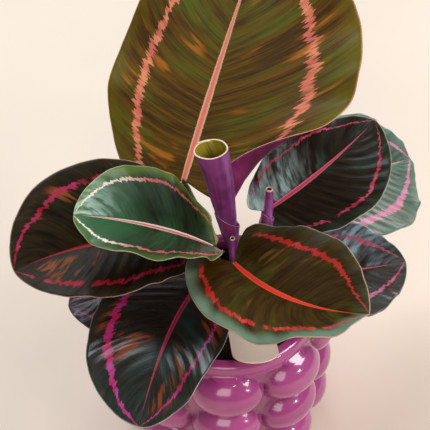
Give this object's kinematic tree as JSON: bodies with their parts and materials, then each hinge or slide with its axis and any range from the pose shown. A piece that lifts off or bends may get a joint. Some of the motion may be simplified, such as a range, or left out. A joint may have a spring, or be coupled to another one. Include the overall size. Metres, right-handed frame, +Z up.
{
  "type": "potted calathea",
  "caption": "Leafy calathea with broad ring-patterned leaves, a rolled new leaf and small shoots, in a nursery pot of soil inside a round glazed cover pot with domed bumps.",
  "frame": {"origin": "centre of the cover pot's flat base", "axes": "+Z up along the pot's axis; the plant's front, with the drooping leaf and the label, faces -Y"},
  "size_m": [0.2125, 0.2273, 0.2222],
  "materials": {
    "glaze": "glossy pink-purple glaze",
    "black_plastic": "matte",
    "soil": "crumbly potting soil",
    "card": "matte, blank",
    "olive_leaf": "satin leaf with pink veins, purple underneath",
    "dark_leaf": "glossy dark leaf with pink veins, purple underneath",
    "young_leaf": "glossy green leaf with pale veins",
    "stalk": "satin plant stem",
    "purple_shoot": "satin purple plant tissue"
  },
  "bodies": {
    "root": {"cover_pot": "glaze", "nursery_pot": "black_plastic", "potting_soil": "soil", "plant_label": "card", "leaf_back_large": "olive_leaf", "leaf_front_right": "olive_leaf", "leaf_right_upper": "dark_leaf", "leaf_right_far": "dark_leaf", "leaf_right_low": "dark_leaf", "leaf_front_drooping": "dark_leaf", "leaf_left_young": "young_leaf", "leaf_left_back": "dark_leaf", "leaf_left_low": "dark_leaf", "stalk_back_large": "stalk", "stalk_front_right": "stalk", "stalk_right_upper": "stalk", "stalk_right_far": "stalk", "stalk_right_low": "stalk", "stalk_front_drooping": "stalk", "stalk_left_young": "stalk", "stalk_left_back": "stalk", "stalk_left_low": "stalk", "rolled_leaf": "purple_shoot", "rolled_leaf_sheath": "purple_shoot", "small_shoot": "purple_shoot", "small_shoot_sheath": "purple_shoot", "tiny_shoot": "purple_shoot"}
  },
  "joints": []
}
